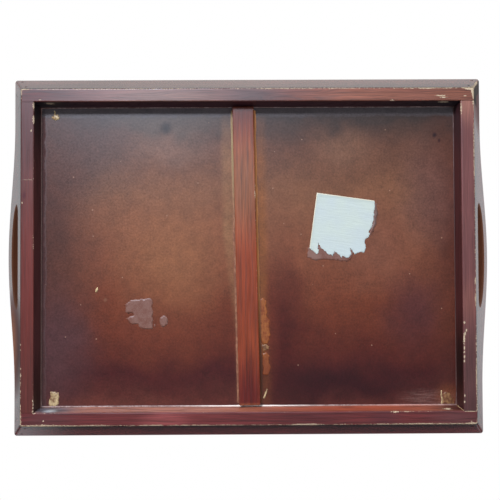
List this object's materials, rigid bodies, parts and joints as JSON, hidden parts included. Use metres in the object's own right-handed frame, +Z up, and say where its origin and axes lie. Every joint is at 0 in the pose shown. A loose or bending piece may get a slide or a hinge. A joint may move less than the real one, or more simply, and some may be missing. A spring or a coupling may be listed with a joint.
{
  "type": "wooden tray",
  "caption": "Rectangular wooden serving tray with flared sides, arched ends with hand holes, and a recessed bottom with a cross batten.",
  "frame": {"origin": "in the plane of the underside that the tray stands on, under the middle of the tray", "axes": "+Z up, +X along the length towards the right end wall, +Y from the front wall to the back wall"},
  "size_m": [0.5154, 0.3566, 0.082],
  "materials": {
    "stained_pine": "red-brown stain under satin lacquer, worn pale at the edges",
    "stained_hardboard": "dark brown stain under satin lacquer",
    "brad_steel": "bright drawn wire",
    "label_paper": "matt white paper, torn and blank"
  },
  "bodies": {
    "root": {"front_wall": "stained_pine", "back_wall": "stained_pine", "left_end_wall": "stained_pine", "right_end_wall": "stained_pine", "cross_batten": "stained_pine", "base_panel": "stained_hardboard", "left_front_lower_brad": "brad_steel", "left_front_upper_brad": "brad_steel", "right_front_lower_brad": "brad_steel", "right_front_upper_brad": "brad_steel", "left_back_lower_brad": "brad_steel", "left_back_upper_brad": "brad_steel", "right_back_lower_brad": "brad_steel", "right_back_upper_brad": "brad_steel", "label_remnant": "label_paper"}
  },
  "joints": []
}
